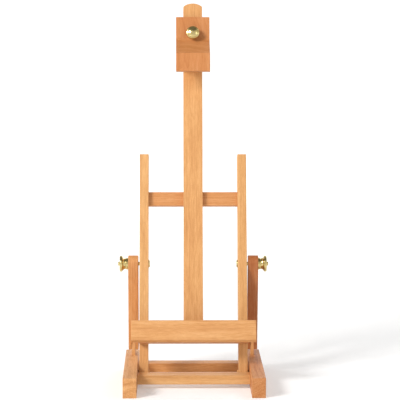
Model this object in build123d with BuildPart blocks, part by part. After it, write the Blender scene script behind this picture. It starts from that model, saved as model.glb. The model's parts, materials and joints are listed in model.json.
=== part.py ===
from build123d import *
import os
from math import atan2, cos, hypot, radians, sin

# Tabletop easel in beech, with brass knobs. Millimetres, +Z up.
# The painter sits on the -Y side, and +X is at the painter's right.
# The origin is on the table, under the middle of the whole easel.

# ---- Stock and finish ----
LATH_THICK = 15.0
LATH_WIDE = 25.0
EDGE = 0.8
HOLE_EASE = 0.05

# ---- Base: two feet joined by two rails ----
BASE_WIDE = 228.0
FOOT_WIDE = 22.0
FOOT_HIGH = 32.5
FOOT_LONG = 220.0
FRONT_RAIL_INSET = 64.0
FRONT_RAIL_RAISE = 7.4
REAR_RAIL_INSET = 14.0
REAR_RAIL_RAISE = 1.5
RAIL_DOWEL_DIA = 6.0
RAIL_DOWEL_LONG = 30.0
RAIL_DOWEL_IN_FOOT = 13.0
RAIL_DOWEL_SPACING = 14.0

# ---- Pivot between the base and the leaning frame ----
LEAN = radians(15.8)
PIVOT_INSET = 113.0
PIVOT_HIGH = 16.5
PIVOT_DOWEL_DIA = 8.0
PIVOT_DOWEL_IN_FOOT = 12.0
PIVOT_DOWEL_PROUD = 2.3

# ---- Leaning frame, measured up the frame from the pivot ----
POST_CENTRE = 82.1
POST_TOP = 365.5
MAST_WIDE = 32.2
MAST_FOOT = 49.5
MAST_TOP = 627.6
MAST_ARCH_RADIUS = 25.0
MAST_SHOULDER_RADIUS = 4.0
CROSSBAR_LOW = 278.6
CROSSBAR_WIDE = 23.5
CROSSBAR_THICK = 12.0
CROSSBAR_SETBACK = 8.0
CROSSBAR_DOWEL_DIA = 6.0
CROSSBAR_DOWEL_LONG = 30.0
CROSSBAR_DOWEL_IN_POST = 10.0
CROSSBAR_DOWEL_SPACING = 12.0

# ---- Canvas tray on the front of the frame ----
TRAY_LOW = 46.5
LEDGE_THICK = 15.0
LEDGE_DEEP = 33.0
LIP_LONG = 204.0
LIP_THICK = 12.0
LIP_HIGH = 35.3
LIP_CHAMFER = 3.0
LIP_DOWEL_DIA = 6.0
LIP_DOWEL_LONG = 26.0
LIP_DOWEL_IN_LIP = 8.0
LIP_DOWEL_SPACING = 70.0

# ---- Side struts, each on a tongue that stands in a foot ----
STRUT_THICK = 17.0
STRUT_DEEP = 21.0
STRUT_INNER_FACE = 91.7
STRUT_BELOW_PIN = 9.4
STRUT_ABOVE_BOLT = 14.0
TONGUE_THICK = 6.0
TONGUE_DEEP = 19.0
TONGUE_IN_FOOT = 12.0
TONGUE_INSET = 182.0
STRUT_PIN_HIGH = 53.0
STRUT_PIN_DIA = 4.0
FORK_GAP = 6.4
FORK_DEPTH_ABOVE_PIN = 13.8

# ---- Clamping bolts, washers and side knobs ----
BOLT_UP_POST = 181.3
BOLT_DIA = 6.0
BOLT_HEAD_DIA = 13.0
BOLT_HEAD_HIGH = 2.2
BOLT_HEAD_GAP = 0.1
SLOT_LOW = 164.4
SLOT_HIGH = 209.9
SLOT_WIDE = 9.4
WASHER_DIA = 19.8
WASHER_THICK = 1.5
KNOB_GAP = 0.05
KNOB_BORE_DEEP = 12.0

# ---- Canvas clamp that slides on the mast ----
CLAMP_WIDE = 57.0
CLAMP_LOW = 498.2
CLAMP_BODY_LOW = 514.5
CLAMP_TOP = 601.0
CLAMP_RIDGE = 529.4
CLAMP_SHOULDER = 561.0
CLAMP_FACE_PROUD = 9.0
CLAMP_LIP_PROUD = 45.0
CLAMP_LIP_THICK = 7.0
CLAMP_SHOULDER_RADIUS = 16.0
CLAMP_SLIDE_GAP = 0.3
KEEPER_THICK = 6.0
KEEPER_SCREW_INSET = 6.3
KEEPER_SCREW_END_INSET = 11.0
CLAMP_SCREW_UP = 571.0
CLAMP_SCREW_DIA = 6.0
INSERT_DIA = 10.0
CLAMP_KNOB_GAP = 1.0
CLAMP_KNOB_BORE = 8.0

# ---- Wood screws ----
SCREW_DIA = 4.0
SCREW_HEAD_DIA = 8.0
SCREW_RECESS = 1.0

# ---- Worked-out places ----
FRAME_HALF = LATH_WIDE / 2
MAST_BACK = LATH_THICK - FRAME_HALF
OVERALL_DEEP = PIVOT_INSET + MAST_TOP * sin(LEAN) + MAST_BACK * cos(LEAN)
FRONT_Y = -OVERALL_DEEP / 2
FOOT_INNER = BASE_WIDE / 2 - FOOT_WIDE
FOOT_CENTRE = BASE_WIDE / 2 - FOOT_WIDE / 2
PIVOT_Y = FRONT_Y + PIVOT_INSET
POST_INNER = POST_CENTRE - LATH_THICK / 2
POST_OUTER = POST_CENTRE + LATH_THICK / 2
CROSSBAR_FRONT = FRAME_HALF - CROSSBAR_SETBACK
CROSSBAR_BACK = CROSSBAR_FRONT - CROSSBAR_THICK
CROSSBAR_MIDDLE = CROSSBAR_LOW + CROSSBAR_WIDE / 2
LEDGE_FRONT = FRAME_HALF + LEDGE_DEEP
TONGUE_Y = FRONT_Y + TONGUE_INSET
STRUT_CENTRE = STRUT_INNER_FACE + STRUT_THICK / 2
STRUT_OUTER_FACE = STRUT_INNER_FACE + STRUT_THICK
BOLT_Y = PIVOT_Y + BOLT_UP_POST * sin(LEAN)
BOLT_Z = PIVOT_HIGH + BOLT_UP_POST * cos(LEAN)
STRUT_LEAN = atan2(BOLT_Y - TONGUE_Y, BOLT_Z - STRUT_PIN_HIGH)
STRUT_REACH = hypot(BOLT_Y - TONGUE_Y, BOLT_Z - STRUT_PIN_HIGH)
CLAMP_BACK = -MAST_BACK - CLAMP_SLIDE_GAP
CLAMP_FACE = FRAME_HALF + CLAMP_FACE_PROUD
SIDES = (("left", -1), ("right", 1))

os.makedirs("parts", exist_ok=True)


def save(builder, name):
    """Labels a finished piece and writes it as a STEP file."""
    builder.part.label = name
    export_step(builder.part, f"parts/{name}.step")


def frame_front(proud):
    """Plane facing the painter: x across, y up the frame, this far in front of the pivot line."""
    origin = (0, PIVOT_Y - proud * cos(LEAN), PIVOT_HIGH + proud * sin(LEAN))
    return Plane(origin=origin, x_dir=(1, 0, 0), z_dir=(0, -cos(LEAN), sin(LEAN)))


def frame_side(x):
    """Plane facing -X: x forwards out of the frame, y up the frame, with the pivot at its origin."""
    return Plane(origin=(x, PIVOT_Y, PIVOT_HIGH), x_dir=(0, -cos(LEAN), sin(LEAN)), z_dir=(-1, 0, 0))


def strut_side(x):
    """Plane facing -X: x forwards out of the strut, y up the strut, with its pin at the origin."""
    forwards = (0, -cos(STRUT_LEAN), sin(STRUT_LEAN))
    return Plane(origin=(x, TONGUE_Y, STRUT_PIN_HIGH), x_dir=forwards, z_dir=(-1, 0, 0))


def outwards(sign, y, z, lean=0.0):
    """Plane on the X axis through (y, z) whose normal points away from the easel's middle."""
    return Plane(origin=(0, y, z), x_dir=(0, cos(lean), -sin(lean)), z_dir=(sign, 0, 0))


def rod(plane, start, end, radius, mode=Mode.ADD):
    """A round bar along the plane's normal, from start to end."""
    with BuildSketch(plane.offset(start)) as section:
        Circle(radius)
    extrude(section.sketch, amount=end - start, mode=mode)


def lengthwise(plane):
    """Plane through a screw's axis: x across the screw, y along the normal that its head faces."""
    return Plane(origin=plane.origin, x_dir=plane.x_dir, z_dir=plane.x_dir.cross(plane.z_dir))


def wood_screw(plane, length):
    """A countersunk screw: its head is flush with the plane, and its shank points down the normal."""
    head_deep = (SCREW_HEAD_DIA - SCREW_DIA) / 2
    with BuildSketch(lengthwise(plane)) as outline:
        with BuildLine():
            Polyline(
                (0, 0),
                (SCREW_HEAD_DIA / 2, 0),
                (SCREW_DIA / 2, -head_deep),
                (SCREW_DIA / 2, -length + SCREW_DIA),
                (0, -length),
                close=True,
            )
        make_face()
    revolve(outline.sketch, axis=Axis(plane.origin, plane.z_dir))
    with BuildSketch(plane) as recess:
        Rectangle(SCREW_HEAD_DIA * 0.5, SCREW_RECESS)
        Rectangle(SCREW_RECESS, SCREW_HEAD_DIA * 0.5)
    extrude(recess.sketch, amount=-SCREW_RECESS, mode=Mode.SUBTRACT)


def screw_hole(plane, length):
    """The countersunk hole that a wood screw fills."""
    head_deep = (SCREW_HEAD_DIA - SCREW_DIA) / 2
    wall = SCREW_DIA / 2 + HOLE_EASE
    with BuildSketch(lengthwise(plane)) as outline:
        with BuildLine():
            Polyline(
                (0, HOLE_EASE),
                (SCREW_HEAD_DIA / 2 + HOLE_EASE, HOLE_EASE),
                (SCREW_HEAD_DIA / 2 + HOLE_EASE, 0),
                (wall, -head_deep),
                (wall, -length - HOLE_EASE),
                (0, -length - HOLE_EASE),
                close=True,
            )
        make_face()
    revolve(outline.sketch, axis=Axis(plane.origin, plane.z_dir), mode=Mode.SUBTRACT)


# ---- Places of the fasteners ----
def facing_back(x, up, proud):
    """Plane on the frame facing away from the painter, for a screw driven from behind."""
    y = PIVOT_Y + up * sin(LEAN) - proud * cos(LEAN)
    z = PIVOT_HIGH + up * cos(LEAN) + proud * sin(LEAN)
    return Plane(origin=(x, y, z), x_dir=(1, 0, 0), z_dir=(0, cos(LEAN), -sin(LEAN)))


LEDGE_MIDDLE = TRAY_LOW + LEDGE_THICK / 2
TRAY_SCREW_LONG = 50.0
MAST_FOOT_SCREW_LONG = 35.0
CROSSBAR_SCREW_LONG = 16.0
KEEPER_SCREW_LONG = 20.0
MAST_SCREW_SPACING = 14.0
KEEPER_BACK = CLAMP_BACK - KEEPER_THICK
KEEPER_SCREW_X = CLAMP_WIDE / 2 - KEEPER_SCREW_INSET

tray_screw_places = [facing_back(sign * POST_CENTRE, LEDGE_MIDDLE, -FRAME_HALF) for _, sign in SIDES]
mast_foot_places = [
    facing_back(sign * MAST_SCREW_SPACING / 2, LEDGE_MIDDLE, -MAST_BACK) for _, sign in SIDES
]
crossbar_places = [
    facing_back(sign * MAST_SCREW_SPACING / 2, CROSSBAR_MIDDLE, CROSSBAR_BACK) for _, sign in SIDES
]
keeper_places = [
    facing_back(sign * KEEPER_SCREW_X, up, KEEPER_BACK)
    for _, sign in SIDES
    for up in (CLAMP_BODY_LOW + KEEPER_SCREW_END_INSET, CLAMP_TOP - KEEPER_SCREW_END_INSET)
]

FRONT_RAIL_Y = FRONT_Y + FRONT_RAIL_INSET + LATH_WIDE / 2
FRONT_RAIL_Z = FRONT_RAIL_RAISE + LATH_THICK / 2
REAR_RAIL_Y = FRONT_Y + FOOT_LONG - REAR_RAIL_INSET - LATH_WIDE / 2
REAR_RAIL_Z = REAR_RAIL_RAISE + LATH_THICK / 2
rail_dowel_places = [
    (rail_y + step * RAIL_DOWEL_SPACING / 2, rail_z)
    for rail_y, rail_z in ((FRONT_RAIL_Y, FRONT_RAIL_Z), (REAR_RAIL_Y, REAR_RAIL_Z))
    for step in (-1, 1)
]

# ---- Feet, each with a mortise for its tongue and blind holes for dowels ----
for side, sign in SIDES:
    with BuildPart() as foot:
        with BuildSketch(Plane.XY):
            with Locations((sign * FOOT_CENTRE, FRONT_Y + FOOT_LONG / 2)):
                Rectangle(FOOT_WIDE, FOOT_LONG)
        extrude(amount=FOOT_HIGH)
        fillet(foot.edges(), EDGE)
        with BuildSketch(Plane.XY.offset(FOOT_HIGH - TONGUE_IN_FOOT)):
            with Locations((sign * STRUT_CENTRE, TONGUE_Y)):
                Rectangle(TONGUE_THICK + 2 * HOLE_EASE, TONGUE_DEEP + 2 * HOLE_EASE)
        extrude(amount=FOOT_HIGH, mode=Mode.SUBTRACT)
        hole_end = FOOT_INNER + PIVOT_DOWEL_IN_FOOT + HOLE_EASE
        pivot_radius = PIVOT_DOWEL_DIA / 2 + HOLE_EASE
        rod(outwards(sign, PIVOT_Y, PIVOT_HIGH), POST_OUTER, hole_end, pivot_radius, Mode.SUBTRACT)
        for y, z in rail_dowel_places:
            hole_end = FOOT_INNER + RAIL_DOWEL_IN_FOOT + HOLE_EASE
            hole_radius = RAIL_DOWEL_DIA / 2 + HOLE_EASE
            rod(outwards(sign, y, z), POST_OUTER, hole_end, hole_radius, Mode.SUBTRACT)
    save(foot, side + "_foot")

# ---- Rails between the feet, laid flat ----
RAIL_DOWEL_IN_RAIL = RAIL_DOWEL_LONG - RAIL_DOWEL_IN_FOOT
for name, middle_y, middle_z in (
    ("front_rail", FRONT_RAIL_Y, FRONT_RAIL_Z),
    ("rear_rail", REAR_RAIL_Y, REAR_RAIL_Z),
):
    with BuildPart() as rail:
        with BuildSketch(Plane.YZ):
            with Locations((middle_y, middle_z)):
                Rectangle(LATH_WIDE, LATH_THICK)
        extrude(amount=FOOT_INNER, both=True)
        fillet(rail.edges().filter_by(Axis.X), EDGE)
        for y, z in rail_dowel_places:
            if z == middle_z:
                for _, sign in SIDES:
                    hole_start = FOOT_INNER - RAIL_DOWEL_IN_RAIL - HOLE_EASE
                    hole_radius = RAIL_DOWEL_DIA / 2 + HOLE_EASE
                    rod(outwards(sign, y, z), hole_start, FOOT_INNER, hole_radius, Mode.SUBTRACT)
    save(rail, name)

with BuildPart() as rail_dowels:
    for y, z in rail_dowel_places:
        for _, sign in SIDES:
            dowel_start = FOOT_INNER - RAIL_DOWEL_IN_RAIL
            rod(outwards(sign, y, z), dowel_start, dowel_start + RAIL_DOWEL_LONG, RAIL_DOWEL_DIA / 2)
save(rail_dowels, "rail_dowels")

# ---- Tongues that the struts turn on, and the dowels that the frame turns on ----
for side, sign in SIDES:
    with BuildPart() as tongue:
        tongue_low = FOOT_HIGH - TONGUE_IN_FOOT
        with BuildSketch(Plane.YZ.offset(sign * STRUT_CENTRE)):
            with Locations((TONGUE_Y, (tongue_low + STRUT_PIN_HIGH) / 2)):
                Rectangle(TONGUE_DEEP, STRUT_PIN_HIGH - tongue_low)
            with Locations((TONGUE_Y, STRUT_PIN_HIGH)):
                Circle(TONGUE_DEEP / 2)
                Circle(STRUT_PIN_DIA / 2 + HOLE_EASE, mode=Mode.SUBTRACT)
        extrude(amount=TONGUE_THICK / 2, both=True)
    save(tongue, side + "_tongue")

    with BuildPart() as pivot_dowel:
        dowel_end = FOOT_INNER + PIVOT_DOWEL_IN_FOOT
        dowel_start = POST_INNER - PIVOT_DOWEL_PROUD
        rod(outwards(sign, PIVOT_Y, PIVOT_HIGH), dowel_start, dowel_end, PIVOT_DOWEL_DIA / 2)
        chamfer(pivot_dowel.edges().filter_by(GeomType.CIRCLE), EDGE / 2)
    save(pivot_dowel, side + "_pivot_dowel")

# ---- Posts: a round lower end on the pivot, and a slot for the clamping bolt ----
for side, sign in SIDES:
    with BuildPart() as post:
        with BuildSketch(frame_side(sign * POST_CENTRE)):
            with Locations((0, POST_TOP / 2)):
                Rectangle(LATH_WIDE, POST_TOP)
            Circle(FRAME_HALF)
        extrude(amount=LATH_THICK / 2, both=True)
        fillet(post.edges(), EDGE)
        with BuildSketch(frame_side(sign * POST_CENTRE)):
            Circle(PIVOT_DOWEL_DIA / 2 + HOLE_EASE)
            with Locations((0, (SLOT_LOW + SLOT_HIGH) / 2)):
                SlotOverall(SLOT_HIGH - SLOT_LOW, SLOT_WIDE, rotation=90)
        extrude(amount=LATH_THICK, both=True, mode=Mode.SUBTRACT)
        for step in (-1, 1):
            up = CROSSBAR_MIDDLE + step * CROSSBAR_DOWEL_SPACING / 2
            spot = frame_side(0).from_local_coords((CROSSBAR_BACK + CROSSBAR_THICK / 2, up, 0))
            hole_end = POST_INNER + CROSSBAR_DOWEL_IN_POST + HOLE_EASE
            hole_radius = CROSSBAR_DOWEL_DIA / 2 + HOLE_EASE
            rod(outwards(sign, spot.Y, spot.Z), POST_INNER - EDGE, hole_end, hole_radius, Mode.SUBTRACT)
        screw_hole(facing_back(sign * POST_CENTRE, LEDGE_MIDDLE, -FRAME_HALF), TRAY_SCREW_LONG)
    save(post, side + "_post")

# ---- Crossbar between the posts, housed out for the mast ----
with BuildPart() as crossbar:
    with BuildSketch(frame_front(CROSSBAR_BACK)):
        with Locations((0, CROSSBAR_MIDDLE)):
            Rectangle(2 * POST_INNER, CROSSBAR_WIDE)
    extrude(amount=CROSSBAR_THICK)
    fillet(crossbar.edges().filter_by(Axis.X), EDGE)
    with BuildSketch(frame_front(-MAST_BACK)):
        with Locations((0, CROSSBAR_MIDDLE)):
            Rectangle(MAST_WIDE, 2 * LATH_WIDE)
    extrude(amount=LATH_THICK, mode=Mode.SUBTRACT)
    for _, sign in SIDES:
        for step in (-1, 1):
            up = CROSSBAR_MIDDLE + step * CROSSBAR_DOWEL_SPACING / 2
            spot = frame_side(0).from_local_coords((CROSSBAR_BACK + CROSSBAR_THICK / 2, up, 0))
            hole_start = POST_INNER + CROSSBAR_DOWEL_IN_POST - CROSSBAR_DOWEL_LONG - HOLE_EASE
            hole_radius = CROSSBAR_DOWEL_DIA / 2 + HOLE_EASE
            rod(outwards(sign, spot.Y, spot.Z), hole_start, POST_INNER, hole_radius, Mode.SUBTRACT)
    for place in crossbar_places:
        screw_hole(place, CROSSBAR_SCREW_LONG)
save(crossbar, "crossbar")

with BuildPart() as crossbar_dowels:
    for _, sign in SIDES:
        for step in (-1, 1):
            up = CROSSBAR_MIDDLE + step * CROSSBAR_DOWEL_SPACING / 2
            spot = frame_side(0).from_local_coords((CROSSBAR_BACK + CROSSBAR_THICK / 2, up, 0))
            dowel_end = POST_INNER + CROSSBAR_DOWEL_IN_POST
            dowel_start = dowel_end - CROSSBAR_DOWEL_LONG
            rod(outwards(sign, spot.Y, spot.Z), dowel_start, dowel_end, CROSSBAR_DOWEL_DIA / 2)
save(crossbar_dowels, "crossbar_dowels")

# ---- Mast with an arched top, from the tray ledge up through the crossbar's housing ----
with BuildPart() as mast:
    half = MAST_WIDE / 2
    spring = MAST_TOP - MAST_ARCH_RADIUS + (MAST_ARCH_RADIUS**2 - half**2) ** 0.5
    with BuildSketch(frame_front(-MAST_BACK)) as mast_face:
        with BuildLine():
            Polyline((-half, spring), (-half, MAST_FOOT), (half, MAST_FOOT), (half, spring))
            ThreePointArc((half, spring), (0, MAST_TOP), (-half, spring))
        make_face()
        fillet(mast_face.vertices().group_by(Axis.Y)[-1], MAST_SHOULDER_RADIUS)
    extrude(amount=LATH_THICK)
    fillet(mast.faces().filter_by(frame_front(0)).edges(), EDGE / 2)
    for place in crossbar_places:
        screw_hole(place, CROSSBAR_SCREW_LONG)
    for place in mast_foot_places:
        screw_hole(place, MAST_FOOT_SCREW_LONG)
save(mast, "mast")

# ---- Canvas tray: a ledge on the posts and the mast, and a taller lip along its front ----
lip_dowel_steps = (-1, 0, 1)


def lip_dowel_plane(step):
    """Plane facing the painter at one of the dowels that join the lip to the ledge."""
    flat = frame_front(0)
    spot = flat.from_local_coords((step * LIP_DOWEL_SPACING, LEDGE_MIDDLE, 0))
    return Plane(origin=spot, x_dir=flat.x_dir, z_dir=flat.z_dir)


LIP_DOWEL_END = LEDGE_FRONT + LIP_DOWEL_IN_LIP
LIP_DOWEL_START = LIP_DOWEL_END - LIP_DOWEL_LONG

with BuildPart() as tray_ledge:
    with BuildSketch(frame_front(FRAME_HALF)):
        with Locations((0, LEDGE_MIDDLE)):
            Rectangle(2 * POST_OUTER, LEDGE_THICK)
    extrude(amount=LEDGE_DEEP)
    fillet(tray_ledge.edges().filter_by(Axis.X), EDGE / 2)
    for place in tray_screw_places:
        screw_hole(place, TRAY_SCREW_LONG)
    for place in mast_foot_places:
        screw_hole(place, MAST_FOOT_SCREW_LONG)
    for step in lip_dowel_steps:
        hole_radius = LIP_DOWEL_DIA / 2 + HOLE_EASE
        rod(lip_dowel_plane(step), LIP_DOWEL_START - HOLE_EASE, LEDGE_FRONT, hole_radius, Mode.SUBTRACT)
save(tray_ledge, "tray_ledge")

with BuildPart() as tray_lip:
    with BuildSketch(frame_side(0)):
        with Locations((LEDGE_FRONT + LIP_THICK / 2, TRAY_LOW + LIP_HIGH / 2)):
            Rectangle(LIP_THICK, LIP_HIGH)
    extrude(amount=LIP_LONG / 2, both=True)
    long_edges = tray_lip.edges().filter_by(Axis.X)
    front_low = long_edges.sort_by(Axis.Z)[:2].sort_by(Axis.Y)[0]
    chamfer(front_low, LIP_CHAMFER)
    fillet(tray_lip.edges().filter_by(Axis.X).group_by(Axis.Z)[-1], 2 * EDGE)
    fillet(tray_lip.faces().sort_by(Axis.X)[0].edges(), EDGE)
    fillet(tray_lip.faces().sort_by(Axis.X)[-1].edges(), EDGE)
    for step in lip_dowel_steps:
        hole_radius = LIP_DOWEL_DIA / 2 + HOLE_EASE
        rod(lip_dowel_plane(step), LEDGE_FRONT, LIP_DOWEL_END + HOLE_EASE, hole_radius, Mode.SUBTRACT)
save(tray_lip, "tray_lip")

with BuildPart() as lip_dowels:
    for step in lip_dowel_steps:
        rod(lip_dowel_plane(step), LIP_DOWEL_START, LIP_DOWEL_END, LIP_DOWEL_DIA / 2)
save(lip_dowels, "lip_dowels")

for name, places, length in (
    ("tray_screws", tray_screw_places, TRAY_SCREW_LONG),
    ("mast_foot_screws", mast_foot_places, MAST_FOOT_SCREW_LONG),
    ("crossbar_screws", crossbar_places, CROSSBAR_SCREW_LONG),
    ("keeper_screws", keeper_places, KEEPER_SCREW_LONG),
):
    with BuildPart() as screws:
        for place in places:
            wood_screw(place, length)
    save(screws, name)

# ---- Struts: forked over the tongues below, bolted to the posts above ----
for side, sign in SIDES:
    with BuildPart() as strut:
        round_middle = STRUT_REACH + STRUT_ABOVE_BOLT - STRUT_DEEP / 2
        with BuildSketch(strut_side(sign * STRUT_CENTRE)):
            with Locations((0, (round_middle - STRUT_BELOW_PIN) / 2)):
                Rectangle(STRUT_DEEP, round_middle + STRUT_BELOW_PIN)
            with Locations((0, round_middle)):
                Circle(STRUT_DEEP / 2)
        extrude(amount=STRUT_THICK / 2, both=True)
        fillet(strut.edges(), EDGE)
        fork_low = -STRUT_BELOW_PIN - STRUT_DEEP
        with BuildSketch(strut_side(sign * STRUT_CENTRE)):
            with Locations((0, (fork_low + FORK_DEPTH_ABOVE_PIN) / 2)):
                Rectangle(2 * STRUT_DEEP, FORK_DEPTH_ABOVE_PIN - fork_low)
        extrude(amount=FORK_GAP / 2, both=True, mode=Mode.SUBTRACT)
        with BuildSketch(strut_side(sign * STRUT_CENTRE)):
            Circle(STRUT_PIN_DIA / 2 + HOLE_EASE)
            with Locations((0, STRUT_REACH)):
                Circle(BOLT_DIA / 2 + HOLE_EASE)
        extrude(amount=STRUT_THICK, both=True, mode=Mode.SUBTRACT)
    save(strut, side + "_strut")

    with BuildPart() as strut_pin:
        pin_plane = outwards(sign, TONGUE_Y, STRUT_PIN_HIGH)
        rod(pin_plane, STRUT_INNER_FACE, STRUT_OUTER_FACE, STRUT_PIN_DIA / 2)
        chamfer(strut_pin.edges().filter_by(GeomType.CIRCLE), EDGE / 2)
    save(strut_pin, side + "_strut_pin")

# ---- Clamping bolts, washers and turned brass knobs at the sides ----
# A knob's profile is (radius, height above the end that faces the wood).
KNOB_COLLAR = (9.6, 0.0), (9.6, 2.0), (9.0, 2.7)
KNOB_NECK = (9.0, 2.7), (9.6, 5.6), (13.4, 8.2)
KNOB_RIM = (13.4, 8.2), (13.4, 11.2)
KNOB_RIM_EDGE = (13.4, 11.2), (13.0, 12.2), (11.9, 12.6)
KNOB_FACE = (11.9, 12.6), (5.0, 12.0), (3.3, 12.2)
KNOB_BOSS = (3.3, 12.2), (3.3, 15.5), (0.0, 15.5), (0.0, 0.0), (9.6, 0.0)
KNOB_BOSS_ROUND = 1.2
WASHER_END = STRUT_OUTER_FACE + WASHER_THICK
KNOB_START = WASHER_END + KNOB_GAP
BOLT_END = KNOB_START + KNOB_BORE_DEEP - EDGE
BOLT_SHOULDER = POST_INNER - BOLT_HEAD_GAP
for side, sign in SIDES:
    axis_plane = outwards(sign, BOLT_Y, BOLT_Z)
    outermost = -1 if sign > 0 else 0
    innermost = 0 if sign > 0 else -1

    with BuildPart() as bolt:
        rod(axis_plane, BOLT_SHOULDER, BOLT_END, BOLT_DIA / 2)
        chamfer(bolt.faces().sort_by(Axis.X)[outermost].edges(), EDGE)
        rod(axis_plane, BOLT_SHOULDER - BOLT_HEAD_HIGH, BOLT_SHOULDER, BOLT_HEAD_DIA / 2)
        fillet(bolt.faces().sort_by(Axis.X)[innermost].edges(), BOLT_HEAD_HIGH * 0.8)
    save(bolt, side + "_bolt")

    with BuildPart() as washer:
        rod(axis_plane, STRUT_OUTER_FACE, WASHER_END, WASHER_DIA / 2)
        rod(axis_plane, STRUT_OUTER_FACE, WASHER_END, BOLT_DIA / 2 + HOLE_EASE, Mode.SUBTRACT)
    save(washer, side + "_washer")

    with BuildPart() as knob:
        knob_foot = (sign * KNOB_START, BOLT_Y, BOLT_Z)
        with BuildSketch(Plane(origin=knob_foot, x_dir=(0, 1, 0), z_dir=(0, 0, -sign))):
            with BuildLine():
                Polyline(*KNOB_COLLAR)
                ThreePointArc(*KNOB_NECK)
                Polyline(*KNOB_RIM)
                ThreePointArc(*KNOB_RIM_EDGE)
                Polyline(*KNOB_FACE)
                Polyline(*KNOB_BOSS)
            make_face()
        revolve(axis=Axis((0, BOLT_Y, BOLT_Z), (1, 0, 0)))
        fillet(knob.faces().sort_by(Axis.X)[outermost].edges(), KNOB_BOSS_ROUND)
        bore_radius = BOLT_DIA / 2 + HOLE_EASE
        rod(axis_plane, KNOB_START, KNOB_START + KNOB_BORE_DEEP, bore_radius, Mode.SUBTRACT)
    save(knob, side + "_knob")

# ---- Canvas clamp: a block round the mast, a lip over the canvas, and a plate behind ----
MAST_GAP_HALF = MAST_WIDE / 2 + CLAMP_SLIDE_GAP
CLAMP_CHANNEL_FLOOR = FRAME_HALF + CLAMP_SLIDE_GAP
CLAMP_LIP = FRAME_HALF + CLAMP_LIP_PROUD
CLAMP_LIP_BACK = CLAMP_LIP - CLAMP_LIP_THICK

with BuildPart() as clamp_block:
    with BuildSketch(frame_side(0)) as clamp_profile:
        with BuildLine():
            Polyline(
                (CLAMP_BACK, CLAMP_TOP),
                (CLAMP_FACE, CLAMP_TOP),
                (CLAMP_FACE, CLAMP_SHOULDER),
                (CLAMP_LIP, CLAMP_RIDGE),
                (CLAMP_LIP, CLAMP_LOW),
                (CLAMP_LIP_BACK, CLAMP_LOW),
                (CLAMP_LIP_BACK, CLAMP_BODY_LOW),
                (CLAMP_BACK, CLAMP_BODY_LOW),
                close=True,
            )
        make_face()
        corners = clamp_profile.vertices()
        fillet(corners.sort_by_distance((CLAMP_FACE, CLAMP_SHOULDER))[0], CLAMP_SHOULDER_RADIUS)
    extrude(amount=CLAMP_WIDE / 2, both=True)
    fillet(clamp_block.faces().sort_by(Axis.X)[0].edges(), EDGE)
    fillet(clamp_block.faces().sort_by(Axis.X)[-1].edges(), EDGE)
    with BuildSketch(frame_front(CLAMP_BACK - EDGE)):
        with Locations((0, (CLAMP_TOP + CLAMP_LOW) / 2)):
            Rectangle(2 * MAST_GAP_HALF, 2 * (CLAMP_TOP - CLAMP_LOW))
    extrude(amount=CLAMP_CHANNEL_FLOOR - CLAMP_BACK + EDGE, mode=Mode.SUBTRACT)
    with BuildSketch(frame_front(0)):
        with Locations((0, CLAMP_SCREW_UP)):
            Circle(INSERT_DIA / 2 + HOLE_EASE)
    extrude(amount=CLAMP_LIP, mode=Mode.SUBTRACT)
    for place in keeper_places:
        screw_hole(place, KEEPER_SCREW_LONG)
save(clamp_block, "clamp_block")

with BuildPart() as clamp_keeper:
    with BuildSketch(frame_front(KEEPER_BACK)):
        with Locations((0, (CLAMP_TOP + CLAMP_BODY_LOW) / 2)):
            Rectangle(CLAMP_WIDE, CLAMP_TOP - CLAMP_BODY_LOW)
    extrude(amount=KEEPER_THICK)
    fillet(clamp_keeper.edges(), EDGE)
    for place in keeper_places:
        screw_hole(place, KEEPER_SCREW_LONG)
save(clamp_keeper, "clamp_keeper")

clamp_axis = frame_front(0)
clamp_axis.origin = clamp_axis.from_local_coords((0, CLAMP_SCREW_UP, 0))
with BuildPart() as clamp_insert:
    rod(clamp_axis, CLAMP_CHANNEL_FLOOR, CLAMP_FACE, INSERT_DIA / 2)
    screw_radius = CLAMP_SCREW_DIA / 2 + HOLE_EASE
    rod(clamp_axis, CLAMP_CHANNEL_FLOOR - 1, CLAMP_FACE + 1, screw_radius, Mode.SUBTRACT)
save(clamp_insert, "clamp_insert")

# ---- Clamp knob and its screw, which presses on the mast ----
SMALL_COLLAR = (7.5, 0.0), (7.5, 2.4), (6.2, 3.2)
SMALL_NECK = (6.2, 3.2), (7.4, 6.9), (11.1, 8.6)
SMALL_RIM = (11.1, 8.6), (11.1, 10.2)
SMALL_RIM_EDGE = (11.1, 10.2), (10.6, 11.6), (9.4, 12.3)
SMALL_TOP = (0.0, 15.5)
CLAMP_KNOB_START = CLAMP_FACE + CLAMP_KNOB_GAP
with BuildPart() as clamp_screw:
    rod(clamp_axis, FRAME_HALF + HOLE_EASE, CLAMP_KNOB_START + CLAMP_KNOB_BORE, CLAMP_SCREW_DIA / 2)
    chamfer(clamp_screw.edges().filter_by(GeomType.CIRCLE), EDGE)
save(clamp_screw, "clamp_screw")

with BuildPart() as clamp_knob:
    knob_foot = clamp_axis.origin + clamp_axis.z_dir * CLAMP_KNOB_START
    with BuildSketch(Plane(origin=knob_foot, x_dir=(1, 0, 0), z_dir=(0, -sin(LEAN), -cos(LEAN)))):
        with BuildLine():
            Polyline((0.0, 0.0), *SMALL_COLLAR)
            ThreePointArc(*SMALL_NECK)
            Polyline(*SMALL_RIM)
            ThreePointArc(*SMALL_RIM_EDGE)
            TangentArc(SMALL_TOP, SMALL_RIM_EDGE[-1], tangent=(1, 0))
            Line(SMALL_TOP, (0.0, 0.0))
        make_face()
    revolve(axis=Axis(clamp_axis.origin, clamp_axis.z_dir))
    bore_end = CLAMP_KNOB_START + CLAMP_KNOB_BORE + HOLE_EASE
    rod(clamp_axis, CLAMP_KNOB_START, bore_end, CLAMP_SCREW_DIA / 2 + HOLE_EASE, Mode.SUBTRACT)
save(clamp_knob, "clamp_knob")
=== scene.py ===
import json
import math
import random

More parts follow.
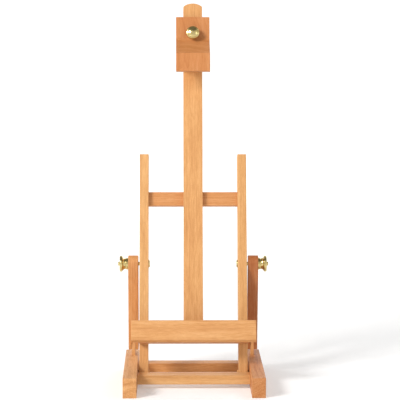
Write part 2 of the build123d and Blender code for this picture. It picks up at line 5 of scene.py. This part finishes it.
import bmesh
import bpy
from mathutils import Matrix, Vector


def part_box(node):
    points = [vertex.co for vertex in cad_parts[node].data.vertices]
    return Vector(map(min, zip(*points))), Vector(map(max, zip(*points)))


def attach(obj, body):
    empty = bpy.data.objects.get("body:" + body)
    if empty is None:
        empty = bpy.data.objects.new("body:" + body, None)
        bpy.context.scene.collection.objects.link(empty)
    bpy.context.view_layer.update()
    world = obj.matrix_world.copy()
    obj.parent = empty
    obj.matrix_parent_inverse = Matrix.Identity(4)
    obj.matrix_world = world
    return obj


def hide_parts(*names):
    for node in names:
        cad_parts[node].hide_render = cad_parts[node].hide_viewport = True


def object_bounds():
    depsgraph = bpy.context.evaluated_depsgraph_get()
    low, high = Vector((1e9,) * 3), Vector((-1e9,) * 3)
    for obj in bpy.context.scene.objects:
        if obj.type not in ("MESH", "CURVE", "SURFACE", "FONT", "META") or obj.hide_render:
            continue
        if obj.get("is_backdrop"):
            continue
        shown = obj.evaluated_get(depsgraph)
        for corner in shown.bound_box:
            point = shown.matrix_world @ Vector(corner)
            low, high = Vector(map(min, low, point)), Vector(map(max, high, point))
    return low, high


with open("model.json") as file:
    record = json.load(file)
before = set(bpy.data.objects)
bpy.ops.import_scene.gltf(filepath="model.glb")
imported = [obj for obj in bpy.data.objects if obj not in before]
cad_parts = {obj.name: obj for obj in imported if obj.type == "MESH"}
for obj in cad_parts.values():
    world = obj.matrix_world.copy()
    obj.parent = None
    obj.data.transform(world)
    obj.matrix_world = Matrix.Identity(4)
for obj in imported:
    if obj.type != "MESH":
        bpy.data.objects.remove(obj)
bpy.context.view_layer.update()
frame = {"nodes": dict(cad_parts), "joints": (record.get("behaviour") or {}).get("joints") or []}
nodes = frame["nodes"]
joints = {joint["name"]: joint for joint in frame["joints"]}

MM = 0.001
LEAN = math.radians(15.8)
STRUT_LEAN = math.radians(-8.1)
QUARTER = math.pi / 2

# ---------------------------------------------------------------- camera

CAMERA_PLACE = Vector((-0.0359, -2.6832, 0.6191))
CAMERA_YAW = math.radians(1.0)
CAMERA_PITCH = math.radians(6.77)
CAMERA_ROLL = math.radians(0.1)
LENS = 146.97
SENSOR = 36.0

forward = Vector((
    math.sin(CAMERA_YAW) * math.cos(CAMERA_PITCH),
    math.cos(CAMERA_YAW) * math.cos(CAMERA_PITCH),
    -math.sin(CAMERA_PITCH),
))
right = Vector((math.cos(CAMERA_YAW), -math.sin(CAMERA_YAW), 0.0))
right = Matrix.Rotation(-CAMERA_ROLL, 3, forward) @ right
up = right.cross(forward)
camera_data = bpy.data.cameras.new("camera")
camera_data.lens = LENS
camera_data.sensor_width = SENSOR
camera_data.clip_end = 60.0
camera = bpy.data.objects.new("camera", camera_data)
turn = Matrix((right, up, -forward)).transposed().to_4x4()
camera.matrix_world = Matrix.Translation(CAMERA_PLACE) @ turn
bpy.context.scene.collection.objects.link(camera)
bpy.context.scene.camera = camera


# ---------------------------------------------------------------- node helpers

def new_material(name):
    """An empty material with its output, as (material, tree, output)."""
    material = bpy.data.materials.new(name)
    material.use_nodes = True
    tree = material.node_tree
    tree.nodes.clear()
    output = tree.nodes.new("ShaderNodeOutputMaterial")
    return material, tree, output


def add(tree, kind, links=None, **sets):
    """Adds a node, sets its attributes, and sets or links its inputs by name or number."""
    node = tree.nodes.new("ShaderNode" + kind)
    for key, value in sets.items():
        setattr(node, key, value)
    for key, value in (links or {}).items():
        if isinstance(value, bpy.types.NodeSocket):
            tree.links.new(value, node.inputs[key])
        else:
            node.inputs[key].default_value = value
    return node


def maths(tree, operation, a, b=0.0, clamp=False):
    """The result of one Math node."""
    return add(tree, "Math", {0: a, 1: b}, operation=operation, use_clamp=clamp).outputs[0]


def stretch(tree, vector, scale):
    """The vector multiplied axis by axis."""
    return add(tree, "VectorMath", {0: vector, 1: scale}, operation="MULTIPLY").outputs[0]


def mix(tree, share, a, b, blend="MIX"):
    """Two colours mixed by a share."""
    node = add(tree, "Mix", {0: share, 6: a, 7: b}, data_type="RGBA", blend_type=blend)
    return node.outputs[2]


def rise(tree, value, low, high, to_low=0.0, to_high=1.0):
    """The value carried smoothly from one range to another."""
    links = {"Value": value, "From Min": low, "From Max": high, "To Min": to_low, "To Max": to_high}
    return add(tree, "MapRange", links, interpolation_type="SMOOTHSTEP").outputs[0]


def noise(tree, vector, scale, detail=2.0, rough=0.5):
    """A noise value round one half."""
    links = {"Vector": vector, "Scale": scale, "Detail": detail, "Roughness": rough}
    return add(tree, "TexNoise", links).outputs[0]


def ramp(tree, share, stops):
    """A colour ramp through (position, colour) stops."""
    node = add(tree, "ValToRGB", {0: share})
    elements = node.color_ramp.elements
    while len(elements) < len(stops):
        elements.new(0.5)
    for element, (position, colour) in zip(elements, stops):
        element.position = position
        element.color = (*colour, 1.0)
    return node.outputs[0]


def srgb(red, green, blue):
    """A linear colour from sRGB numbers of 0 to 255."""
    return tuple(
        channel / 255 / 12.92 if channel <= 10 else ((channel / 255 + 0.055) / 1.055) ** 2.4
        for channel in (red, green, blue)
    )


# ---------------------------------------------------------------- wood

WOOD_DARK = srgb(186, 126, 72)
WOOD_MIDDLE = srgb(208, 152, 94)
WOOD_LIGHT = srgb(222, 172, 118)
WOOD_FLECK = srgb(158, 100, 56)
# paler colour for the painted highlight along the arrises
WOOD_EDGE_HIGHLIGHT = srgb(228, 182, 134)
RING_SWAY = 16
ARRIS_RADIUS = 0.0011
FIBRE_DEPTH = 0.00012


def wood(name, turned, seed, pith, tone=1.0, warm=0.0, ring_gap=2.6, contrast=0.75, streaks=1.0):
    """Oiled beech.

    turned carries the piece's length to Z. pith is the tree's middle, in mm, beside the piece.
    tone and warm set its value and hue, contrast the strength of all its grain, and streaks that
    of the broad streaks alone.
    """
    material, tree, output = new_material(name)
    draw = random.Random(seed)
    place = add(tree, "TexCoord").outputs["Object"]
    shift = tuple(draw.uniform(-400, 400) for _ in range(3))
    along = add(tree, "Mapping", {
        "Vector": place, "Location": (0, 0, shift[2]), "Rotation": turned, "Scale": (1000, 1000, 1000),
    }).outputs[0]
    moved = add(tree, "VectorMath", {0: along, 1: shift}, operation="ADD").outputs[0]

    # the growth rings are cylinders round the pith that wander slowly along the grain
    wander = add(tree, "TexNoise", {
        "Vector": stretch(tree, moved, (0.03, 0.03, 0.006)), "Scale": 1.0, "Detail": 2.0,
    }).outputs[1]
    wander = add(tree, "VectorMath", {0: wander, 1: (0.5, 0.5, 0.5)}, operation="SUBTRACT").outputs[0]
    sway = stretch(tree, wander, (RING_SWAY, RING_SWAY, 0))
    bent = add(tree, "VectorMath", {0: along, 1: sway}, operation="ADD").outputs[0]
    flat = stretch(tree, bent, (1, 1, 0))
    radius = add(tree, "VectorMath", {0: flat, 1: (*pith, 0)}, operation="DISTANCE").outputs[1]
    turns = maths(tree, "DIVIDE", radius, ring_gap)
    uneven = add(tree, "TexNoise", {"W": maths(tree, "MULTIPLY", turns, 0.35), "Scale": 1.0, "Detail": 3.0},
                 noise_dimensions="1D").outputs[0]
    year = maths(tree, "FRACT", maths(tree, "ADD", turns, maths(tree, "MULTIPLY", uneven, 2.4)))
    late = rise(tree, year, 0.62, 0.97)
    late = maths(tree, "MULTIPLY", late, rise(tree, year, 1.0, 0.97))

    # fibres and vessels along the grain, from hair-fine to broad streaks
    fine = noise(tree, stretch(tree, moved, (3.2, 3.2, 0.07)), 1.0, 3.0, 0.6)
    broad = noise(tree, stretch(tree, moved, (0.42, 0.42, 0.010)), 1.0, 3.0, 0.55)
    short = noise(tree, stretch(tree, moved, (0.75, 0.75, 0.085)), 1.0, 2.0, 0.5)
    patch = noise(tree, stretch(tree, moved, (0.05, 0.05, 0.012)), 1.0, 2.0)

    # medullary rays: thin plates that point at the pith
    ray_place = stretch(tree, moved, (1.9, 0.5, 0.30))
    ray = add(tree, "TexVoronoi", {"Vector": ray_place, "Scale": 1.0, "Randomness": 1.0}).outputs[0]
    fleck = rise(tree, ray, 0.34, 0.16)

    share = 0.54
    for part, weight in (
        (broad, 0.9 * streaks), (uneven, 0.6), (short, 0.75 * streaks), (fine, 0.7), (patch, 0.7 * streaks),
    ):
        level = maths(tree, "MULTIPLY", maths(tree, "SUBTRACT", part, 0.5), weight * contrast)
        share = maths(tree, "ADD", level, share)
    share = maths(tree, "SUBTRACT", share, maths(tree, "MULTIPLY", late, 0.16 * contrast))
    colour = ramp(tree, share, ((0.12, WOOD_DARK), (0.52, WOOD_MIDDLE), (0.88, WOOD_LIGHT)))
    colour = mix(tree, maths(tree, "MULTIPLY", fleck, 0.30), colour, (*WOOD_FLECK, 1))

    # painted highlight: arrises are painted a little paler than the faces, as if rounded edges caught the
    # light
    softened = add(tree, "Bevel", {"Radius": ARRIS_RADIUS}, samples=4).outputs[0]
    true_normal = add(tree, "NewGeometry").outputs["Normal"]
    facing = add(tree, "VectorMath", {0: softened, 1: true_normal}, operation="DOT_PRODUCT").outputs[1]
    edge_highlight = rise(tree, facing, 0.995, 0.90)
    colour = mix(tree, maths(tree, "MULTIPLY", edge_highlight, 0.28), colour, (*WOOD_EDGE_HIGHLIGHT, 1))
    # values and hue that set one lath apart from the next; on the right strut and right foot the lower
    # value is painted shade
    colour = add(tree, "HueSaturation", {
        "Hue": 0.5 - warm * 0.01, "Saturation": 1.0 + warm * 0.05, "Value": tone, "Color": colour,
    }).outputs[0]

    height = maths(tree, "MULTIPLY", fine, 0.6)
    height = maths(tree, "SUBTRACT", height, maths(tree, "MULTIPLY", fleck, 0.35))
    height = maths(tree, "SUBTRACT", height, maths(tree, "MULTIPLY", late, 0.25))
    bump = add(tree, "Bump", {
        "Strength": 0.35, "Distance": FIBRE_DEPTH, "Height": height, "Normal": softened,
    })
    shine = maths(tree, "ADD", fine, maths(tree, "MULTIPLY", fleck, -0.4))
    gloss = rise(tree, shine, 0.2, 0.8, 0.62, 0.44)
    shader = add(tree, "BsdfPrincipled", {
        "Base Color": colour, "Roughness": gloss, "Normal": bump.outputs[0],
        "Specular IOR Level": 0.35, "Coat Weight": 0.06, "Coat Roughness": 0.35,
    })
    tree.links.new(shader.outputs[0], output.inputs[0])
    return material


UP_FRAME = (LEAN, 0, 0)
UP_STRUT = (STRUT_LEAN, 0, 0)
UPRIGHT = (0, 0, 0)
ALONG_Y = (QUARTER, 0, 0)
ACROSS_FRAME = (LEAN, -QUARTER, 0)
ACROSS = (0, -QUARTER, 0)

WOODS = {
    "left_post": (UP_FRAME, 11, (-130, 70), 1.03, -0.3),
    "right_post": (UP_FRAME, 12, (40, 95), 1.02, -0.2),
    "mast": (UP_FRAME, 13, (20, 120), 1.03, 0.0),
    "crossbar": (ACROSS_FRAME, 14, (60, 100), 0.93, 0.9),
    "tray_lip": (ACROSS_FRAME, 15, (90, 110), 1.00, 0.2),
    "tray_ledge": (ACROSS_FRAME, 16, (140, 60), 0.96, 0.5),
    "clamp_block": (UP_FRAME, 17, (-60, -400), 0.86, 1.3, 2.2, 0.85, 0.45),
    "clamp_keeper": (UP_FRAME, 18, (30, -70), 0.94, 0.8),
    "left_strut": (UP_STRUT, 19, (-60, 60), 0.98, 0.6),
    # tone 0.62 and warm 2.2 are painted shade: the right strut is darkened and reddened where the right
    # post's shadow falls on it
    "right_strut": (UP_STRUT, 20, (160, 50), 0.62, 2.2),
    "left_foot": (ALONG_Y, 21, (-90, 90), 0.99, 0.2, 2.8, 1.1),
    # tone 0.83 and warm 1.2 are painted shade: the right foot is darkened where the strut and post shade it
    "right_foot": (ALONG_Y, 22, (60, -120), 0.83, 1.2, 3.4, 1.1),
    "front_rail": (ACROSS, 23, (-70, 0), 1.00, -0.2),
    "rear_rail": (ACROSS, 24, (-60, 110), 1.04, 0.3),
    "left_tongue": (UPRIGHT, 25, (-60, 60), 1.02, 0.0),
    "right_tongue": (UPRIGHT, 26, (60, 60), 1.00, 0.3),
    "rail_dowels": (ACROSS, 27, (-30, 40), 1.04, -0.4),
    "left_pivot_dowel": (ACROSS, 28, (-30, 40), 1.06, -0.5),
    "right_pivot_dowel": (ACROSS, 29, (-30, 40), 1.06, -0.5),
    "crossbar_dowels": (ACROSS, 30, (-30, 40), 1.04, -0.4),
    "lip_dowels": (ALONG_Y, 31, (-30, 40), 1.04, -0.4),
}


# ---------------------------------------------------------------- metals

def turned_metal(name, colour, stain, centre, axis, groove_gap, rough, groove_depth):
    """Metal turned on a lathe about an axis: fine grooves, soft stains and slightly uneven polish."""
    material, tree, output = new_material(name)
    place = add(tree, "TexCoord").outputs["Object"]
    from_centre = add(tree, "VectorMath", {0: place, 1: tuple(centre)}, operation="SUBTRACT").outputs[0]
    along = add(tree, "VectorMath", {0: from_centre, 1: tuple(axis)}, operation="DOT_PRODUCT").outputs[1]
    length = add(tree, "VectorMath", {0: from_centre}, operation="LENGTH").outputs[1]
    out = maths(tree, "SQRT", maths(tree, "SUBTRACT", maths(tree, "MULTIPLY", length, length),
                                    maths(tree, "MULTIPLY", along, along)))
    turns = maths(tree, "DIVIDE", maths(tree, "ADD", out, along), groove_gap)
    groove = add(
        tree, "TexNoise", {"W": turns, "Scale": 1.0, "Detail": 2.0}, noise_dimensions="1D",
    ).outputs[0]
    cloud = noise(tree, from_centre, 160.0, 4.0, 0.6)
    speck = noise(tree, from_centre, 900.0, 2.0, 0.6)
    shade = mix(tree, rise(tree, cloud, 0.46, 0.72), (*colour, 1), (*stain, 1))
    stained_rough = rise(tree, cloud, 0.3, 0.75, rough, rough * 1.7)
    gloss = maths(tree, "ADD", stained_rough, maths(tree, "MULTIPLY", speck, 0.05))
    height = maths(tree, "ADD", groove, maths(tree, "MULTIPLY", speck, 0.15))
    bump = add(tree, "Bump", {"Strength": 0.5, "Distance": groove_depth, "Height": height})
    shader = add(tree, "BsdfPrincipled", {
        "Base Color": shade, "Metallic": 1.0, "Roughness": gloss, "Normal": bump.outputs[0],
    })
    tree.links.new(shader.outputs[0], output.inputs[0])
    return material


BRASS = srgb(214, 194, 134)
BRASS_STAIN = srgb(186, 160, 96)
STEEL = srgb(196, 194, 190)
STEEL_STAIN = srgb(150, 148, 146)
FRAME_NORMAL = Vector((0, -math.cos(LEAN), math.sin(LEAN)))


def middle(node):
    """The middle of a CAD node's box."""
    low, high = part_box(node)
    return (low + high) / 2


def brass_for(node, axis):
    """Polished brass, turned about this node's middle."""
    return turned_metal(node + "_brass", BRASS, BRASS_STAIN, middle(node), axis, 0.00035, 0.15, 0.000006)


def steel_for(node, axis):
    """Zinc-plated steel, turned about this node's middle."""
    return turned_metal(node + "_steel", STEEL, STEEL_STAIN, middle(node), axis, 0.0004, 0.28, 0.00001)


ALONG_X = Vector((1, 0, 0))
for node_name, facts in WOODS.items():
    nodes[node_name].data.materials.clear()
    nodes[node_name].data.materials.append(wood(node_name + "_beech", *facts))
for node_name in ("left_washer", "right_washer", "left_bolt", "right_bolt"):
    nodes[node_name].data.materials.clear()
    nodes[node_name].data.materials.append(brass_for(node_name, ALONG_X))
for node_name in ("clamp_insert", "keeper_screws"):
    nodes[node_name].data.materials.clear()
    nodes[node_name].data.materials.append(brass_for(node_name, FRAME_NORMAL))
for node_name in ("left_strut_pin", "right_strut_pin"):
    nodes[node_name].data.materials.clear()
    nodes[node_name].data.materials.append(steel_for(node_name, ALONG_X))
for node_name in ("tray_screws", "mast_foot_screws", "crossbar_screws", "clamp_screw"):
    nodes[node_name].data.materials.clear()
    nodes[node_name].data.materials.append(steel_for(node_name, FRAME_NORMAL))


# ---------------------------------------------------------------- turned knobs

CREASE = math.radians(32)


def arc(start, bulge, end, steps):
    """Points from start to end on a quadratic curve that is pulled towards bulge."""
    found = []
    for step in range(1, steps + 1):
        t = step / steps
        found.append(tuple(
            (1 - t) ** 2 * a + 2 * t * (1 - t) * b + t * t * c for a, b, c in zip(start, bulge, end)
        ))
    return found


def lathe(name, origin, direction, profile, segments=96):
    """A turned piece: the profile's (radius, along) points in mm, swept round the direction."""
    direction = Vector(direction).normalized()
    side = direction.orthogonal().normalized()
    other = direction.cross(side)
    work = bmesh.new()
    rings = []
    for radius, along in profile:
        base = Vector(origin) + direction * (along * MM)
        if radius < 1e-6:
            rings.append([work.verts.new(base)])
            continue
        ring = []
        for step in range(segments):
            angle = 2 * math.pi * step / segments
            outward = side * math.cos(angle) + other * math.sin(angle)
            ring.append(work.verts.new(base + outward * (radius * MM)))
        rings.append(ring)
    for low, high in zip(rings, rings[1:]):
        for step in range(segments):
            after = (step + 1) % segments
            corners = [low[step % len(low)], low[after % len(low)]]
            corners += [high[after % len(high)], high[step % len(high)]]
            face = work.faces.new(list(dict.fromkeys(corners)))
            face.smooth = True
    bmesh.ops.recalc_face_normals(work, faces=work.faces)
    for edge in work.edges:
        if len(edge.link_faces) == 2 and edge.calc_face_angle() > CREASE:
            edge.smooth = False
    mesh = bpy.data.meshes.new(name)
    work.to_mesh(mesh)
    work.free()
    piece = bpy.data.objects.new(name, mesh)
    bpy.context.scene.collection.objects.link(piece)
    return piece


SIDE_KNOB = (
    [(0, 12), (2.95, 12), (3.05, 11.9), (3.05, 0.5), (3.5, 0), (9.3, 0), (9.6, 0.3), (9.6, 1.7)]
    + arc((9.6, 1.7), (9.6, 2.3), (9.0, 2.7), 4)
    + arc((9.0, 2.7), (9.2, 6.9), (13.1, 8.15), 14)
    + arc((13.1, 8.15), (13.4, 8.25), (13.4, 8.6), 4)
    + [(13.4, 11.2)]
    + arc((13.4, 11.2), (13.35, 12.5), (11.9, 12.6), 6)
    + arc((11.9, 12.6), (8.0, 12.5), (5.0, 12.0), 6)
    + arc((5.0, 12.0), (3.6, 11.8), (3.3, 12.4), 4)
    + [(3.3, 14.3)]
    + arc((3.3, 14.3), (3.25, 15.3), (2.1, 15.45), 5)
    + arc((2.1, 15.45), (1.0, 15.5), (0, 15.5), 3)
)
CLAMP_KNOB = (
    [(0, 8), (2.95, 8), (3.05, 7.9), (3.05, 0.5), (3.5, 0), (7.2, 0), (7.5, 0.3), (7.5, 2.1)]
    + arc((7.5, 2.1), (7.45, 2.7), (6.7, 2.9), 4)
    + arc((6.7, 2.9), (6.2, 3.0), (6.2, 3.7), 4)
    + arc((6.2, 3.7), (6.6, 7.8), (10.8, 8.5), 14)
    + arc((10.8, 8.5), (11.1, 8.6), (11.1, 9.0), 4)
    + [(11.1, 10.0)]
    + arc((11.1, 10.0), (11.05, 11.9), (9.4, 12.2), 6)
    + [(9.2, 12.0), (9.0, 12.4)]
    + arc((9.0, 12.4), (4.9, 15.3), (0, 15.5), 16)
)

for node_name, sign in (("left_knob", -1), ("right_knob", 1)):
    direction = Vector((sign, 0, 0))
    low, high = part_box(node_name)
    centre = Vector(joints[node_name + "_turn"]["pos_m"])
    origin = Vector((low.x if sign > 0 else high.x, centre.y, centre.z))
    knob = lathe(node_name + "_turned", origin, direction, SIDE_KNOB)
    knob.data.materials.append(brass_for(node_name, direction))
    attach(knob, node_name)
    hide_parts(node_name)

knob_axis = Vector(joints["clamp_knob_turn"]["pos_m"])
# distances out from the middle of the frame's thickness, in mm
CLAMP_KNOB_FOOT = 22.5
CLAMP_KNOB_JOINT = 30.0
knob_base = knob_axis + FRAME_NORMAL * ((CLAMP_KNOB_FOOT - CLAMP_KNOB_JOINT) * MM)
clamp_knob = lathe("clamp_knob_turned", knob_base, FRAME_NORMAL, CLAMP_KNOB)
clamp_knob.data.materials.append(brass_for("clamp_knob", FRAME_NORMAL))
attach(clamp_knob, "clamp_knob")
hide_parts("clamp_knob")


# ---------------------------------------------------------------- floor and light

def bowl(name, flat, bend, top, segments=64):
    """A studio floor that curves up into a wall all round."""
    work = bmesh.new()
    line = [(flat * 0.1, 0.0), (flat * 0.5, 0.0), (flat, 0.0)]
    for step in range(1, 13):
        angle = QUARTER * step / 12
        line.append((flat + bend * math.sin(angle), bend - bend * math.cos(angle)))
    line.append((flat + bend, top))
    rings = []
    for radius, height in line:
        spokes = [2 * math.pi * step / segments for step in range(segments)]
        rings.append([work.verts.new((radius * math.cos(a), radius * math.sin(a), height)) for a in spokes])
    work.faces.new(rings[0]).smooth = True
    for low, high in zip(rings, rings[1:]):
        for step in range(segments):
            after = (step + 1) % segments
            work.faces.new((low[step], high[step], high[after], low[after])).smooth = True
    mesh = bpy.data.meshes.new(name)
    work.to_mesh(mesh)
    work.free()
    piece = bpy.data.objects.new(name, mesh)
    bpy.context.scene.collection.objects.link(piece)
    return piece


FLOOR_FLAT = 4.5
FLOOR_BEND = 2.5
FLOOR_TOP = 8.0
PAPER_GLOW = 0.24
ROOM_LIGHT = 0.20
floor = bowl("floor", FLOOR_FLAT, FLOOR_BEND, FLOOR_TOP)
floor_material, tree, output = new_material("floor_paper")
floor_place = add(tree, "TexCoord").outputs["Object"]
paper = noise(tree, floor_place, 3.0, 3.0)
paper_colour = mix(tree, paper, (0.78, 0.78, 0.78, 1), (0.82, 0.82, 0.82, 1))
paper_shader = add(tree, "BsdfPrincipled", {
    "Base Color": paper_colour, "Roughness": 0.8, "Specular IOR Level": 0.1,
})
paper_shader.inputs["Emission Color"].default_value = (1, 1, 1, 1)
paper_shader.inputs["Emission Strength"].default_value = PAPER_GLOW
tree.links.new(paper_shader.outputs[0], output.inputs[0])
floor.data.materials.append(floor_material)
floor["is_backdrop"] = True

LOOK_AT = Vector((0, 0, 0.30))


def softbox(name, place, target, size, power, tint=(1, 1, 1)):
    """A soft light that faces the target."""
    data = bpy.data.lights.new(name, "AREA")
    data.shape = "RECTANGLE"
    data.size, data.size_y = size
    data.energy = power
    data.color = tint
    lamp = bpy.data.objects.new(name, data)
    lamp.location = place
    lamp.rotation_mode = "QUATERNION"
    lamp.rotation_quaternion = (Vector(target) - Vector(place)).to_track_quat("-Z", "Y")
    bpy.context.scene.collection.objects.link(lamp)


softbox("key", (-2.15, -1.75, 2.05), LOOK_AT, (0.9, 0.9), 90.0, (1.0, 0.985, 0.96))
softbox("right_panel", (2.1, -1.6, 1.1), LOOK_AT, (0.9, 1.3), 5.0)
softbox("back_panel", (1.2, 2.2, 1.8), LOOK_AT, (1.2, 0.9), 16.0)
softbox("backdrop_light", (0, 1.8, 2.9), (0, 6.5, 0.9), (4.0, 0.8), 120.0)

world = bpy.data.worlds.new("studio")
world.use_nodes = True
world.node_tree.nodes["Background"].inputs["Color"].default_value = (1.0, 1.0, 1.0, 1)
world.node_tree.nodes["Background"].inputs["Strength"].default_value = ROOM_LIGHT
bpy.context.scene.world = world
bpy.context.scene.view_settings.view_transform = "Standard"

low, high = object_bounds()
